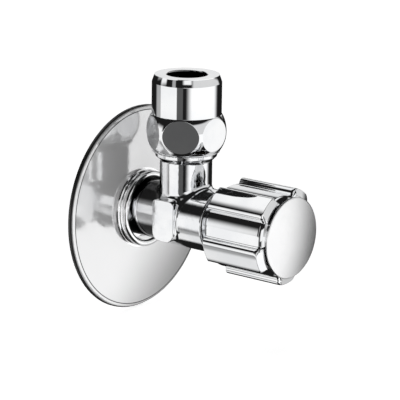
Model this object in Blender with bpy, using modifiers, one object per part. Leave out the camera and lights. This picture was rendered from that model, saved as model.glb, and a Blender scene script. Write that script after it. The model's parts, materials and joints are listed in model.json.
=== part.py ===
"""Angle stop valve: chromed wall valve with a sliding rosette, a fluted knob and a compression union nut.

World frame: the wall is the plane Y = 0, the inlet axis is the Y axis, the knob points to -Y, the outlet to +Z.
Run pieces are turned about local Z, which lies along world -Y, so their heights are distances from the wall.
Outlet pieces are turned about local Z as well, which stays world +Z on the outlet axis.
Lengths are in millimetres and are scaled to metres when the meshes are made.
"""

import math

import bmesh
import bpy
from mathutils import Matrix

MM = 0.001
GAP = 0.3

# Driving dimensions
OUTLET_AXIS = 17.0
ACROSS_FLATS = 19.0
INLET_END = -15.0
THREAD_CREST = 8.33
THREAD_ROOT = 7.48
THREAD_PITCH = 1.337
TUBE_HOLE = 5.4

# Cast body
SPIGOT_RADIUS = 7.8
PAD_BACK = 13.3
PAD_FRONT = 20.3
PAD_HALF_HEIGHT = 5.6
PAD_CORNER = 1.5
NECK_RADIUS = 8.4
NECK_SHOULDER = 28.9
NOZZLE_RADIUS = 6.3
NOZZLE_END = 30.5
OUTLET_NECK_RADIUS = 7.0
OUTLET_THREAD_START = 15.3
OUTLET_THREAD_END = 27.0
CHAMBER_RADIUS = 5.2
INLET_BORE = 5.0
SEAT_BORE = 3.2
SEAT_FACE = 12.6
SEAT_THICKNESS = 2.1
OUTLET_BORE = 4.0
TUBE_STOP = 16.0
SEAL_POCKET = 23.3
SEAL_POCKET_RADIUS = 6.6

# Wall rosette
ROSETTE_RADIUS = 28.0
ROSETTE_DROP = 0.45
ROSETTE_DEPTH = 2.2
ROSETTE_SHEET = 0.8
COLLAR_FRONT = 5.0
COLLAR_RADIUS = 10.4
COLLAR_BORE = 8.6

# Union nut and the compression set below it
NUT_BOTTOM = 17.7
NUT_BARREL_MIDDLE = 23.2
NUT_BARREL_RADIUS = 10.7
NUT_BARREL_ARC = 8.7
NUT_CYLINDER_RADIUS = 9.3
NUT_CYLINDER_START = 27.9
NUT_CHAMFER_START = 36.4
NUT_TOP = 38.4
NUT_TOP_RADIUS = 8.6
CLAMP_BORE = 7.6
CLAMP_RADIUS = 7.3
CLAMP_BOTTOM = 28.7
CLAMP_TOP = 35.2

# Headwork
HEADWORK_START = 21.6
HEADWORK_RADIUS = 4.9
HEADWORK_BORE = 3.8
FLANGE_START = 31.8
FLANGE_END = 33.6
FLANGE_ACROSS_FLATS = 11.4
NOSE_RADIUS = 4.6
NOSE_END = 38.2
SPINDLE_BORE = 3.0
BORE_SHOULDER = 33.2
SPINDLE_RADIUS = 2.6
SPINDLE_TIP = 22.8
SPINDLE_END = 45.3
SPINDLE_THREAD = 1.8
SPINDLE_PITCH = 1.0
SPINDLE_RING_PLACES = (34.6, 36.8)
RING_SECTION = 0.45

# Piston, which carries the seat washer
PISTON_HEAD_RADIUS = 4.6
PISTON_STEM_RADIUS = 3.4
PISTON_END = 26.5
PISTON_RING_PLACE = 23.5
WASHER_THICKNESS = 2.2

# Knob
KNOB_START = 33.0
KNOB_END = 50.9
KNOB_RADIUS = 13.0
KNOB_RIM_RADIUS = 11.5
KNOB_RIM_START = 49.3
KNOB_FRONT = 51.3
FLUTE_RADIUS = 11.0
FLUTES = 5
FLUTE_PHASE = math.radians(13.3)
FLUTE_HALF_WIDTH = math.radians(16.5)
FLUTE_WALL = math.radians(2.5)
KNOB_CAVITY = 9.4
BOSS_RADIUS = 6.9
BOSS_START = 38.9
WEB_BACK = 45.9
WEB_FRONT = 47.8
CAP_RECESS = 9.4
CAP_SEAT = 49.3
CAP_RADIUS = 10.8
CAP_EDGE = 52.3
CAP_CROWN = 0.7

SMALL = 16
COARSE = 24
FINE = 40
KNOB_POINTS = 80

for old in list(bpy.data.objects):
    bpy.data.objects.remove(old, do_unlink=True)

PARTS = bpy.data.collections.new("angle_stop_valve")
CUTTERS = bpy.data.collections.new("cutters")
bpy.context.scene.collection.children.link(PARTS)
bpy.context.scene.collection.children.link(CUTTERS)


def finish(name, colour, roughness, metallic):
    """A Principled material of one colour."""
    material = bpy.data.materials.new(name)
    material.use_nodes = True
    shader = material.node_tree.nodes["Principled BSDF"]
    shader.inputs["Base Color"].default_value = (*colour, 1.0)
    shader.inputs["Roughness"].default_value = roughness
    shader.inputs["Metallic"].default_value = metallic
    return material


def chrome(name, roughness=0.06):
    return finish(name, (0.82, 0.83, 0.84), roughness, 1.0)


def brass(name):
    return finish(name, (0.78, 0.57, 0.27), 0.3, 1.0)


def steel(name):
    return finish(name, (0.62, 0.62, 0.63), 0.3, 1.0)


def rubber(name):
    return finish(name, (0.02, 0.02, 0.02), 0.6, 0.0)


def place(piece, along_run, collection, material):
    """Link a piece, stand it on its axis and give it its material."""
    if along_run:
        piece.rotation_euler = (math.radians(90), 0, 0)
    else:
        piece.location = (0, -OUTLET_AXIS * MM, 0)
    collection.objects.link(piece)
    if material is None:
        piece.hide_render = True
        piece.display_type = "WIRE"
    else:
        piece.data.materials.append(material)
        piece.data.shade_smooth()
    return piece


def turned(name, profile, material=None, along_run=True, steps=COARSE):
    """Turn a profile of (radius, height) points, which runs down its outer side. Off the axis it is a ring."""
    mesh = bpy.data.meshes.new(name)
    points = [(radius * MM, 0, height * MM) for radius, height in profile]
    edges = [(i, i + 1) for i in range(len(points) - 1)]
    if profile[0][0] > 0:
        edges.append((len(points) - 1, 0))
    mesh.from_pydata(points, edges, [])
    piece = bpy.data.objects.new(name, mesh)
    place(piece, along_run, CUTTERS if material is None else PARTS, material)
    screw = piece.modifiers.new("turn", "SCREW")
    screw.steps = steps
    screw.render_steps = steps
    screw.use_merge_vertices = True
    screw.merge_threshold = 0.00001
    screw.use_smooth_shade = True
    return piece


def ring(name, inner, outer, bottom, top, material, along_run=True, edge=0.12):
    """A turned flat ring with broken outer edges."""
    profile = [
        (inner, top),
        (outer - edge, top),
        (outer, top - edge),
        (outer, bottom + edge),
        (outer - edge, bottom),
        (inner, bottom),
    ]
    return turned(name, profile, material, along_run, steps=SMALL)


def o_ring(name, middle, height, section, material):
    """A round-section rubber ring."""
    around = 6
    profile = [
        (
            middle + section * math.sin(2 * math.pi * i / around),
            height + section * math.cos(2 * math.pi * i / around),
        )
        for i in range(around)
    ]
    return turned(name, profile, material, steps=SMALL)


def thread(crest, root, top, bottom, pitch):
    """Profile points of a screw thread drawn as turned ridges, from its top to its bottom."""
    turns = int((top - bottom) / pitch)
    points = []
    for turn in range(turns):
        height = top - turn * pitch
        points += [(root, height), (crest, height - pitch / 2)]
    return points + [(root, bottom)]


def hexagon(name, across_flats, bottom, top, along_run=True, spin=0.0):
    """A hexagonal prism."""
    mesh = bpy.data.meshes.new(name)
    shape = bmesh.new()
    radius = across_flats / math.sqrt(3) * MM
    bmesh.ops.create_cone(
        shape, cap_ends=True, segments=6, radius1=radius, radius2=radius, depth=(top - bottom) * MM
    )
    bmesh.ops.rotate(shape, verts=shape.verts, matrix=Matrix.Rotation(spin, 3, "Z"))
    bmesh.ops.translate(shape, verts=shape.verts, vec=(0, 0, (top + bottom) / 2 * MM))
    shape.to_mesh(mesh)
    shape.free()
    return place(bpy.data.objects.new(name, mesh), along_run, CUTTERS, None)


def spanner_pads(name):
    """A block across the body whose two ends are flats for a spanner, with rounded corners and edges."""
    mesh = bpy.data.meshes.new(name)
    shape = bmesh.new()
    bmesh.ops.create_cube(shape, size=MM)
    size = (ACROSS_FLATS, 2 * PAD_HALF_HEIGHT, PAD_FRONT - PAD_BACK)
    bmesh.ops.scale(shape, verts=shape.verts, vec=size)
    across = [e for e in shape.edges if abs(e.verts[0].co.x - e.verts[1].co.x) > 1e-6]
    bmesh.ops.bevel(shape, geom=across, offset=PAD_CORNER * MM, segments=4, profile=0.5, affect="EDGES")
    around = [e for e in shape.edges if abs(e.verts[0].co.x - e.verts[1].co.x) < 1e-6]
    bmesh.ops.bevel(shape, geom=around, offset=0.4 * MM, segments=2, profile=0.5, affect="EDGES")
    bmesh.ops.translate(shape, verts=shape.verts, vec=(0, 0, (PAD_FRONT + PAD_BACK) / 2 * MM))
    shape.to_mesh(mesh)
    shape.free()
    return place(bpy.data.objects.new(name, mesh), True, CUTTERS, None)


def boolean(piece, other, operation):
    change = piece.modifiers.new(f"{operation.lower()}_{other.name}", "BOOLEAN")
    change.operation = operation
    change.object = other
    change.solver = "EXACT"


def valve_body():
    """The cast body: inlet thread, spigot, spanner pads, headwork neck and the threaded outlet."""
    inlet_thread = thread(THREAD_CREST, THREAD_ROOT, -3.0, INLET_END + 0.8, THREAD_PITCH)
    run = [
        (0, NOZZLE_END),
        (NOZZLE_RADIUS - 0.4, NOZZLE_END),
        (NOZZLE_RADIUS, NOZZLE_END - 0.4),
        (NOZZLE_RADIUS, NECK_SHOULDER),
        (NECK_RADIUS - 0.5, NECK_SHOULDER),
        (NECK_RADIUS, NECK_SHOULDER - 0.5),
        (NECK_RADIUS, PAD_BACK + 0.9),
        (SPIGOT_RADIUS, PAD_BACK + 0.3),
        (SPIGOT_RADIUS, -2.4),
        *inlet_thread,
        (THREAD_ROOT - 0.5, INLET_END),
        (0, INLET_END),
    ]
    body = turned("valve_body", run, chrome("cast_chrome", 0.12), steps=28)
    flats = spanner_pads("body_pads")
    outlet_thread = thread(
        THREAD_CREST, THREAD_ROOT, OUTLET_THREAD_END - 0.6, OUTLET_THREAD_START + 2.6, THREAD_PITCH
    )
    outlet = turned(
        "body_outlet",
        [
            (0, OUTLET_THREAD_END),
            (THREAD_ROOT - 0.3, OUTLET_THREAD_END),
            *outlet_thread,
            (THREAD_CREST - 0.05, OUTLET_THREAD_START + 2.2),
            (THREAD_CREST - 0.05, OUTLET_THREAD_START + 1.3),
            (OUTLET_NECK_RADIUS, OUTLET_THREAD_START),
            (OUTLET_NECK_RADIUS, 0),
            (0, 0),
        ],
        along_run=False,
        steps=28,
    )
    run_bore = turned(
        "body_run_bore",
        [
            (0, NOZZLE_END + 1),
            (CHAMBER_RADIUS, NOZZLE_END + 1),
            (CHAMBER_RADIUS, SEAT_FACE),
            (SEAT_BORE, SEAT_FACE),
            (SEAT_BORE, SEAT_FACE - SEAT_THICKNESS),
            (INLET_BORE, SEAT_FACE - SEAT_THICKNESS - 1.0),
            (INLET_BORE, INLET_END - 1),
            (0, INLET_END - 1),
        ],
    )
    outlet_bore = turned(
        "body_outlet_bore",
        [
            (0, OUTLET_THREAD_END + 1),
            (SEAL_POCKET_RADIUS, OUTLET_THREAD_END + 1),
            (SEAL_POCKET_RADIUS, SEAL_POCKET),
            (TUBE_HOLE - 0.1, SEAL_POCKET - 0.6),
            (TUBE_HOLE - 0.1, TUBE_STOP),
            (OUTLET_BORE, TUBE_STOP),
            (OUTLET_BORE, 0),
            (0, 0),
        ],
        along_run=False,
    )
    boolean(body, flats, "UNION")
    boolean(body, outlet, "UNION")
    boolean(body, run_bore, "DIFFERENCE")
    boolean(body, outlet_bore, "DIFFERENCE")


def wall_rosette():
    """A pressed cover plate: rolled rim, flat face and a beaded collar, which hangs loosely on the spigot."""
    rim_roll = 0.7
    bead = (COLLAR_RADIUS - COLLAR_BORE) / 2
    bead_arc = [
        (
            COLLAR_RADIUS - bead + bead * math.cos(angle),
            COLLAR_FRONT - bead + bead * math.sin(angle),
        )
        for angle in (math.radians(d) for d in (150, 120, 90, 60, 30, 0, -35))
    ]
    profile = [
        (COLLAR_BORE, COLLAR_FRONT - bead),
        *bead_arc,
        (COLLAR_RADIUS - 0.35, ROSETTE_DEPTH + 0.3),
        (COLLAR_RADIUS + 0.1, ROSETTE_DEPTH),
        (ROSETTE_RADIUS - rim_roll, ROSETTE_DEPTH),
        (ROSETTE_RADIUS - rim_roll * 0.3, ROSETTE_DEPTH - rim_roll * 0.3),
        (ROSETTE_RADIUS, ROSETTE_DEPTH - rim_roll),
        (ROSETTE_RADIUS, 0),
        (ROSETTE_RADIUS - ROSETTE_SHEET, 0),
        (ROSETTE_RADIUS - ROSETTE_SHEET, ROSETTE_DEPTH - ROSETTE_SHEET),
        (COLLAR_BORE, ROSETTE_DEPTH - ROSETTE_SHEET),
    ]
    rosette = turned("wall_rosette", profile, chrome("satin_chrome", 0.16), steps=48)
    rosette.location = (0, 0, -ROSETTE_DROP * MM)


def union_nut():
    """The compression nut: barrel hexagon below, plain sleeve above, open top for the tube."""
    arc_middle = NUT_BARREL_RADIUS - NUT_BARREL_ARC
    barrel_top = NUT_CYLINDER_START - 0.3
    barrel_steps = 8
    heights = [
        barrel_top + (NUT_BOTTOM + 0.3 - barrel_top) * i / barrel_steps for i in range(barrel_steps + 1)
    ]
    barrel = [
        (arc_middle + math.sqrt(NUT_BARREL_ARC**2 - (z - NUT_BARREL_MIDDLE) ** 2), z) for z in heights
    ]
    bore = THREAD_CREST + 0.34
    profile = [
        (TUBE_HOLE, NUT_TOP),
        (NUT_TOP_RADIUS, NUT_TOP),
        (NUT_CYLINDER_RADIUS, NUT_CHAMFER_START),
        (NUT_CYLINDER_RADIUS, NUT_CYLINDER_START),
        *barrel,
        (bore + 0.2, NUT_BOTTOM),
        (bore, NUT_BOTTOM + 0.2),
        (bore, OUTLET_THREAD_END + GAP),
        (CLAMP_BORE, OUTLET_THREAD_END + GAP + 0.6),
        (CLAMP_BORE, CLAMP_TOP - 0.6),
        (TUBE_HOLE, CLAMP_TOP + 0.9),
    ]
    nut = turned("union_nut", profile, chrome("nut_chrome", 0.05), along_run=False, steps=48)
    flats = hexagon(
        "nut_hexagon",
        ACROSS_FLATS,
        NUT_BOTTOM - 1,
        NUT_TOP + 1,
        along_run=False,
        spin=math.radians(30),
    )
    boolean(nut, flats, "INTERSECT")


def compression_set():
    """The pieces that the union nut squeezes onto the tube: rubber cone seal, steel washer and clamping ring."""
    seal = [
        (TUBE_HOLE, OUTLET_THREAD_END + 0.2),
        (SEAL_POCKET_RADIUS - GAP, OUTLET_THREAD_END + 0.2),
        (SEAL_POCKET_RADIUS - GAP, SEAL_POCKET + 0.9),
        (TUBE_HOLE + 0.5, SEAL_POCKET + 0.3),
        (TUBE_HOLE, SEAL_POCKET + 0.3),
    ]
    turned("outlet_seal", seal, rubber("outlet_rubber"), along_run=False)
    ring(
        "seal_washer",
        TUBE_HOLE,
        CLAMP_RADIUS - 0.2,
        OUTLET_THREAD_END + 0.5,
        CLAMP_BOTTOM - GAP,
        steel("washer_steel"),
        along_run=False,
    )
    clamp = [
        (TUBE_HOLE, CLAMP_TOP),
        (TUBE_HOLE + 0.5, CLAMP_TOP),
        (CLAMP_RADIUS, CLAMP_TOP - 1.4),
        (CLAMP_RADIUS, CLAMP_BOTTOM + 0.5),
        (CLAMP_RADIUS - 0.5, CLAMP_BOTTOM),
        (TUBE_HOLE, CLAMP_BOTTOM),
    ]
    turned("clamping_ring", clamp, brass("clamp_brass"), along_run=False)


def headwork():
    """The screwed-in headwork body with its flat gasket."""
    profile = [
        (HEADWORK_BORE, HEADWORK_START),
        (HEADWORK_BORE, BORE_SHOULDER),
        (SPINDLE_BORE, BORE_SHOULDER),
        (SPINDLE_BORE, NOSE_END),
        (NOSE_RADIUS - 0.4, NOSE_END),
        (NOSE_RADIUS, NOSE_END - 0.4),
        (NOSE_RADIUS, FLANGE_START + 0.4),
        (HEADWORK_RADIUS, FLANGE_START + 0.4),
        *thread(HEADWORK_RADIUS, HEADWORK_RADIUS - 0.5, 29.6, HEADWORK_START + 0.6, 1.0),
        (HEADWORK_RADIUS - 0.6, HEADWORK_START),
    ]
    body = turned("headwork_body", profile, brass("headwork_brass"), steps=20)
    flange = hexagon("headwork_flange", FLANGE_ACROSS_FLATS, FLANGE_START, FLANGE_END)
    passage = turned(
        "headwork_passage",
        [
            (0, NOSE_END + 1),
            (SPINDLE_BORE, NOSE_END + 1),
            (SPINDLE_BORE, BORE_SHOULDER),
            (HEADWORK_BORE, BORE_SHOULDER),
            (HEADWORK_BORE, FLANGE_START - 1),
            (0, FLANGE_START - 1),
        ],
        steps=20,
    )
    boolean(flange, passage, "DIFFERENCE")
    boolean(body, flange, "UNION")
    ring(
        "headwork_gasket",
        CHAMBER_RADIUS,
        NOZZLE_RADIUS - 0.15,
        NOZZLE_END + GAP,
        FLANGE_START - GAP,
        rubber("gasket_fibre"),
    )


def groove(place_at, depth_radius, outer_radius, half_width):
    """Profile points of a square groove in an outer side that runs downwards."""
    return [
        (outer_radius, place_at + half_width),
        (depth_radius, place_at + half_width),
        (depth_radius, place_at - half_width),
        (outer_radius, place_at - half_width),
    ]


def spindle_set():
    """The non-rising spindle with its two rings, the thrust washer and the retaining ring."""
    screw_hole = 1.6
    collar_front, collar_back = 32.0, 31.0
    profile = [
        (0, 41.5),
        (screw_hole, 41.5),
        (screw_hole, SPINDLE_END),
        (SPINDLE_RADIUS - 0.3, SPINDLE_END),
        (SPINDLE_RADIUS, SPINDLE_END - 0.3),
        *groove(NOSE_END + 0.6, 1.95, SPINDLE_RADIUS, 0.5),
        *groove(SPINDLE_RING_PLACES[1], 1.6, SPINDLE_RADIUS, 0.75),
        *groove(SPINDLE_RING_PLACES[0], 1.6, SPINDLE_RADIUS, 0.75),
        (SPINDLE_RADIUS, collar_front),
        (HEADWORK_BORE - 0.4, collar_front),
        (HEADWORK_BORE - 0.4, collar_back),
        *thread(SPINDLE_THREAD, SPINDLE_THREAD - 0.4, collar_back, SPINDLE_TIP + 0.4, SPINDLE_PITCH),
        (SPINDLE_THREAD - 0.7, SPINDLE_TIP),
        (0, SPINDLE_TIP),
    ]
    turned("spindle", profile, brass("spindle_brass"), steps=SMALL)
    for name, height in zip(("spindle_inner_o_ring", "spindle_outer_o_ring"), SPINDLE_RING_PLACES):
        o_ring(name, 2.3, height, RING_SECTION, rubber(name + "_rubber"))
    ring("thrust_washer", 2.9, HEADWORK_BORE - GAP, 32.3, 32.9, finish("ptfe", (0.85, 0.85, 0.82), 0.4, 0.0))
    ring("spindle_retaining_ring", 2.2, 3.7, NOSE_END + 0.3, NOSE_END + 0.9, steel("ring_steel"))


def piston_set():
    """The piston that the spindle drives, its ring, the seat washer and the washer's screw."""
    washer_back = SEAT_FACE + GAP + WASHER_THICKNESS
    head_back = washer_back + GAP
    head_front = head_back + 1.6
    profile = [
        (2.1, PISTON_END),
        (PISTON_STEM_RADIUS, PISTON_END),
        *groove(PISTON_RING_PLACE, 2.7, PISTON_STEM_RADIUS, 0.65),
        (PISTON_STEM_RADIUS, head_front),
        (PISTON_HEAD_RADIUS, head_front),
        (PISTON_HEAD_RADIUS, head_back),
        (1.2, head_back),
        (1.2, 18.5),
        (2.1, 18.5),
    ]
    turned("valve_piston", profile, brass("piston_brass"), steps=SMALL)
    o_ring("piston_o_ring", 3.28, PISTON_RING_PLACE, 0.38, rubber("piston_rubber"))
    ring("seat_washer", 1.2, 4.5, SEAT_FACE + GAP, washer_back, rubber("seat_rubber"), edge=0.3)
    head_radius, shank_radius = 2.2, 0.9
    screw = [
        (0, 18.0),
        (shank_radius, 18.0),
        (shank_radius, SEAT_FACE),
        (head_radius, SEAT_FACE),
        (head_radius, SEAT_FACE - 1.0),
        (head_radius - 0.5, SEAT_FACE - 1.5),
        (0, SEAT_FACE - 1.5),
    ]
    slotted(turned("washer_screw", screw, steel("screw_steel"), steps=SMALL), head_radius, SEAT_FACE - 1.5, 0.6)


def slotted(screw, head_radius, face, depth):
    """Cut a driver slot across a screw's head face."""
    mesh = bpy.data.meshes.new(screw.name + "_slot")
    shape = bmesh.new()
    bmesh.ops.create_cube(shape, size=1.0)
    bmesh.ops.scale(shape, verts=shape.verts, vec=(head_radius * 3 * MM, 0.6 * MM, 2 * depth * MM))
    bmesh.ops.translate(shape, verts=shape.verts, vec=(0, 0, face * MM))
    shape.to_mesh(mesh)
    shape.free()
    slot = place(bpy.data.objects.new(mesh.name, mesh), True, CUTTERS, None)
    boolean(screw, slot, "DIFFERENCE")


def knob_radius(angle):
    """Outer radius of the fluted knob: five flutes with steep walls between five lobes."""
    step = 2 * math.pi / FLUTES
    away = abs((angle - FLUTE_PHASE + step / 2) % step - step / 2)
    rise = (away - FLUTE_HALF_WIDTH) / FLUTE_WALL
    blend = min(max(rise, 0.0), 1.0)
    return FLUTE_RADIUS + (KNOB_RADIUS - FLUTE_RADIUS) * blend


def knob():
    """The hollow fluted knob: rim and cap seat in front, boss for the splined bush, skirt round the headwork."""
    mesh = bpy.data.meshes.new("knob")
    shape = bmesh.new()
    bmesh.ops.create_circle(shape, cap_ends=True, segments=KNOB_POINTS, radius=1.0)
    for vert in shape.verts:
        angle = math.atan2(vert.co.y, -vert.co.x)
        radius = knob_radius(angle) * MM
        vert.co.xy *= radius
        vert.co.z = KNOB_START * MM
    bottom = shape.faces[:]
    top = bmesh.ops.extrude_face_region(shape, geom=bottom)["geom"]
    moved = [item for item in top if isinstance(item, bmesh.types.BMVert)]
    bmesh.ops.translate(shape, verts=moved, vec=(0, 0, (KNOB_END - KNOB_START) * MM))
    bmesh.ops.recalc_face_normals(shape, faces=shape.faces)
    shape.to_mesh(mesh)
    shape.free()
    piece = place(bpy.data.objects.new("knob", mesh), True, PARTS, chrome("knob_chrome", 0.05))
    mesh.set_sharp_from_angle(angle=math.radians(30))
    rim = turned(
        "knob_rim",
        [
            (0, KNOB_FRONT),
            (KNOB_RIM_RADIUS - 0.3, KNOB_FRONT),
            (KNOB_RIM_RADIUS, KNOB_FRONT - 0.3),
            (KNOB_RIM_RADIUS, KNOB_RIM_START),
            (0, KNOB_RIM_START),
        ],
        steps=FINE,
    )
    front_bore = turned(
        "knob_front_bore",
        [
            (0, KNOB_FRONT + 1),
            (CAP_RECESS, KNOB_FRONT + 1),
            (CAP_RECESS, CAP_SEAT),
            (5.2, CAP_SEAT),
            (5.2, WEB_FRONT),
            (1.9, WEB_FRONT),
            (1.9, WEB_BACK),
            (5.3, WEB_BACK),
            (5.3, BOSS_START - 0.5),
            (0, BOSS_START - 0.5),
        ],
        steps=FINE,
    )
    skirt_bore = turned(
        "knob_skirt_bore",
        [
            (0, BOSS_START),
            (BOSS_RADIUS, BOSS_START),
            (BOSS_RADIUS, WEB_BACK),
            (KNOB_CAVITY, WEB_BACK),
            (KNOB_CAVITY, KNOB_START - 1),
            (0, KNOB_START - 1),
        ],
        steps=FINE,
    )
    boolean(piece, rim, "UNION")
    boolean(piece, front_bore, "DIFFERENCE")
    boolean(piece, skirt_bore, "DIFFERENCE")


def knob_fittings():
    """What joins the knob to the spindle: splined bush, screw and spring washer, under the front cap."""
    ring("knob_bush", 2.9, 5.0, 39.6, WEB_BACK - GAP, brass("bush_brass"))
    ring("knob_spring_washer", 1.6, 3.2, WEB_FRONT + GAP, WEB_FRONT + 0.7, steel("spring_steel"))
    head_back = WEB_FRONT + 1.0
    head_front = head_back + 1.4
    screw = [
        (0, head_front),
        (2.5, head_front),
        (3.1, head_front - 0.5),
        (3.1, head_back),
        (1.3, head_back),
        (1.3, 42.0),
        (0, 42.0),
    ]
    slotted(turned("knob_screw", screw, steel("knob_screw_steel"), steps=SMALL), 3.1, head_front, 0.6)
    crown_radius = (CAP_RADIUS**2 + CAP_CROWN**2) / (2 * CAP_CROWN)
    crown = [
        (r, CAP_EDGE + 0.3 + math.sqrt(crown_radius**2 - r * r) - crown_radius + CAP_CROWN)
        for r in (0, 3.6, 7.2, CAP_RADIUS - 0.25)
    ]
    peg_outer, peg_inner, peg_back = 4.8, 3.9, 48.8
    cap = [
        *crown,
        (CAP_RADIUS, CAP_EDGE),
        (CAP_RADIUS, KNOB_FRONT + GAP),
        (CAP_RECESS - GAP, KNOB_FRONT + GAP),
        (CAP_RECESS - GAP, CAP_SEAT + 1.1),
        (peg_outer, CAP_SEAT + 1.1),
        (peg_outer, peg_back),
        (peg_inner, peg_back),
        (peg_inner, CAP_SEAT + 1.1),
        (0, CAP_SEAT + 1.1),
    ]
    turned("knob_cap", cap, chrome("cap_satin_chrome", 0.22), steps=FINE)


valve_body()
wall_rosette()
union_nut()
compression_set()
headwork()
spindle_set()
piston_set()
knob()
knob_fittings()
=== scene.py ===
"""Looks of the angle stop valve: fine meshes, materials, studio and camera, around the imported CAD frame.

Shapes are worked out in millimetres. A run piece is turned about the inlet axis and its heights are distances
from the wall, towards the knob. An outlet piece is turned about the outlet axis and its heights are world Z.
"""

import json
import math

import bpy
import numpy as np
from mathutils import Matrix, Vector


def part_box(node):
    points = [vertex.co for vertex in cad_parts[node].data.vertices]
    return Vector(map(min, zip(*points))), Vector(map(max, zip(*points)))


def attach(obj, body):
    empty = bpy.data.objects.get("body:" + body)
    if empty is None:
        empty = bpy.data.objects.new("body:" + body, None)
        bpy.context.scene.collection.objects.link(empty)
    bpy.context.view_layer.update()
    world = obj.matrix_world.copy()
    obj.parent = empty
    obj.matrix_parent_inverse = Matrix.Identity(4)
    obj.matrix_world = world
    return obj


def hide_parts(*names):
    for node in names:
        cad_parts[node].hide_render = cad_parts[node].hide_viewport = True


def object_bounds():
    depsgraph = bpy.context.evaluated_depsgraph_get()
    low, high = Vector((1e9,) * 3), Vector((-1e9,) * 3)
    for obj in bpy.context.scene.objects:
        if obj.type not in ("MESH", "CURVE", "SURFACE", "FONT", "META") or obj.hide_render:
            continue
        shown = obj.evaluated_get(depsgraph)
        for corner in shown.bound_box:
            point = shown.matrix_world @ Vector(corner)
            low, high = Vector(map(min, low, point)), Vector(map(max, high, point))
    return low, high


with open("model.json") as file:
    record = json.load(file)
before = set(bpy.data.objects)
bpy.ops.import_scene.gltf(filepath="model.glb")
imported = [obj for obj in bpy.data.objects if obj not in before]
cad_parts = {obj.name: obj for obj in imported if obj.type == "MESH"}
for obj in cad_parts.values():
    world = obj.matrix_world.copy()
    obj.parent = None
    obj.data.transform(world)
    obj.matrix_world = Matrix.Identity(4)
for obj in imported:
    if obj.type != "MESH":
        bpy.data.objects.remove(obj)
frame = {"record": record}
cad_low, cad_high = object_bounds()

MM = 0.001
TURN = 2 * math.pi
RUN, OUTLET = "run", "outlet"


# ---------------------------------------------------------------- sizes read from the frame


def run_size(node):
    """(outer radius, back, front) of a node turned about the inlet axis, in millimetres."""
    low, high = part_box(node)
    return (high.x - low.x) / 2 / MM, -high.y / MM, -low.y / MM


def outlet_size(node):
    """(outer radius, bottom, top) of a node turned about the outlet axis, in millimetres."""
    low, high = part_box(node)
    return (high.x - low.x) / 2 / MM, low.z / MM, high.z / MM


clamp_low, clamp_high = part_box("clamping_ring")
OUTLET_AXIS = -(clamp_low.y + clamp_high.y) / 2 / MM

# The same driving dimensions as the CAD part
ACROSS_FLATS = 19.0
THREAD_PITCH = 1.337
THREAD_CREST = 8.33
THREAD_ROOT = 7.48
THREAD_GAP = 0.14
TUBE_HOLE = 5.4
NECK_RADIUS = 8.4
NOZZLE_RADIUS = 6.3
SPIGOT_RADIUS = 7.8
CHAMBER_RADIUS = 5.2
SEAT_FACE = 12.6
ROSETTE_DROP = 0.45

# Only on the visual body: how much each pad leans in towards the knob, in millimetres per millimetre
PAD_DRAFT = 0.035


# ---------------------------------------------------------------- mesh tools


def round_corners(corners, closed, support=0.12):
    """Points (radius, height) along a profile of (radius, height, fillet) corners."""
    count = len(corners)
    arcs = []
    for i, (r, h, fillet) in enumerate(corners):
        here = np.array((r, h), float)
        if fillet <= 0 or (not closed and i in (0, count - 1)):
            arcs.append([here])
            continue
        before = np.array(corners[i - 1][:2]) - here
        after = np.array(corners[(i + 1) % count][:2]) - here
        room = 0.46 * min(np.linalg.norm(before), np.linalg.norm(after))
        before, after = before / np.linalg.norm(before), after / np.linalg.norm(after)
        turn = math.pi - math.acos(max(-1.0, min(1.0, float(before @ after))))
        if turn < 0.02:
            arcs.append([here])
            continue
        reach = min(fillet * math.tan(turn / 2), room)
        radius = reach / math.tan(turn / 2)
        bisector = (before + after) / np.linalg.norm(before + after)
        middle = here + bisector * radius / math.cos(turn / 2)
        start, end = here + before * reach - middle, here + after * reach - middle
        pieces = max(2, math.ceil(turn / math.radians(13)), math.ceil(radius * turn / 0.1))
        arc = []
        for k in range(pieces + 1):
            a = math.sin((1 - k / pieces) * turn) / math.sin(turn)
            b = math.sin(k / pieces * turn) / math.sin(turn)
            arc.append(middle + a * start + b * end)
        arcs.append(arc)
    points = []
    for i in range(count):
        points += arcs[i]
        if closed or i < count - 1:
            points += spread(arcs[i][-1], arcs[(i + 1) % count][0], support)
    return np.array(points)


def spread(start, end, support):
    """A point close to each end of a straight stretch, so that its shading stays flat."""
    length = float(np.linalg.norm(end - start))
    if length < 3 * support:
        return []
    return [start + (end - start) * d / length for d in (support, length - support)]


def refine(points, low, high, step):
    """Add points to the stretches of an outer wall between two heights, at most a step apart."""
    fine = []
    for here, after in zip(points, np.roll(points, -1, axis=0)):
        fine.append(here)
        inside = min(here[1], after[1]) >= low - 1e-6 and max(here[1], after[1]) <= high + 1e-6
        length = np.linalg.norm(after - here)
        pieces = math.ceil(length / step) if inside and length > 2 * step else 1
        fine += [here + (after - here) * k / pieces for k in range(1, pieces)]
    return np.array(fine)


def to_world(radius, angle, height, axis):
    """World metres of cylindrical millimetre coordinates about the inlet or the outlet axis."""
    across, up = radius * np.cos(angle), radius * np.sin(angle)
    if axis == RUN:
        return np.stack([across, -height, up], -1) * MM
    return np.stack([across, up - OUTLET_AXIS, height], -1) * MM


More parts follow.
